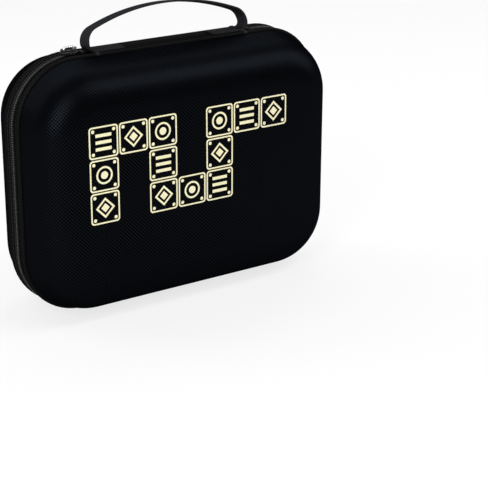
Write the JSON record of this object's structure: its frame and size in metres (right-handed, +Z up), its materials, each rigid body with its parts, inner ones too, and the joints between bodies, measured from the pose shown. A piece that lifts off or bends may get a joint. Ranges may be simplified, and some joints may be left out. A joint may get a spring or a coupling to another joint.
{
  "type": "game storage case",
  "caption": "Moulded zip-up storage case for a table game, with fabric-covered shells, a webbing handle, a foam tray and a mesh pocket.",
  "frame": {"origin": "centre of the bounding box's base, on the floor under the middle of the zip, with the closed case standing on its rim", "axes": "+X along the width, +Y from the front face to the back face, +Z up through the handle"},
  "size_m": [0.2208, 0.08, 0.1872],
  "materials": {
    "shell_fabric": "fine twill polyester over moulded EVA foam, soft sheen",
    "lining": "brushed knit lining",
    "binding": "woven piping tape, satin",
    "zip_tape": "herringbone woven tape",
    "zip_coil": "nylon monofilament coil",
    "foam": "moulded EVA foam sheet, matt",
    "mesh": "knitted pocket net",
    "elastic": "ribbed woven elastic",
    "strip_fabric": "plain woven polyester, doubled",
    "webbing": "woven webbing, slight sheen",
    "slider_metal": "plated die-cast zinc",
    "stop_metal": "dull"
  },
  "bodies": {
    "back": {"back_shell": "shell_fabric", "back_lining": "lining", "back_binding": "binding", "back_zip_tape": "zip_tape", "back_zip_coil": "zip_coil", "back_seam_tape": "binding", "back_top_stop": "stop_metal", "bottom_stop": "stop_metal", "foam_tray": "foam"},
    "spine": {"hinge_strip": "strip_fabric", "handle_tails": "webbing", "handle_legs": "webbing"},
    "lid": {"front_shell": "shell_fabric", "front_lining": "lining", "front_binding": "binding", "front_zip_tape": "zip_tape", "front_zip_coil": "zip_coil", "front_seam_tape": "binding", "front_top_stop": "stop_metal", "mesh_pocket": "mesh", "pocket_elastic": "elastic"},
    "handle": {"handle_strap": "webbing"},
    "slider": {"slider_body": "slider_metal", "slider_bridge": "slider_metal"},
    "pull": {"pull_ring": "slider_metal"}
  },
  "joints": [
    {"name": "spine_fold", "type": "hinge", "parent": "back", "child": "spine", "pos_m": [0, 0.006, 0.1628], "axis": [-1, 0, 0], "range_deg": [0, 70]},
    {"name": "lid_fold", "type": "hinge", "parent": "spine", "child": "lid", "pos_m": [0, -0.006, 0.1628], "axis": [-1, 0, 0], "range_deg": [0, 70], "deforming": ["front_zip_tape", "front_zip_coil"]},
    {"name": "handle_swing", "type": "hinge", "parent": "spine", "child": "handle", "pos_m": [0, 0, 0.164], "axis": [-1, 0, 0], "range_deg": [-41, 19], "deforming": ["handle_legs"]},
    {"name": "slider_travel", "type": "hinge", "parent": "back", "child": "slider", "pos_m": [-0.069, 0, 0.1214], "axis": [0, -1, 0], "range_deg": [0, 90], "deforming": ["back_zip_tape", "back_zip_coil"]},
    {"name": "pull_flip", "type": "hinge", "parent": "slider", "child": "pull", "pos_m": [-0.0658, 0, 0.1649], "axis": [0, 1, 0], "range_deg": [0, 115]}
  ],
  "couplings": [
    {"joint": "lid_fold", "follows": "spine_fold", "ratio": 1}
  ]
}
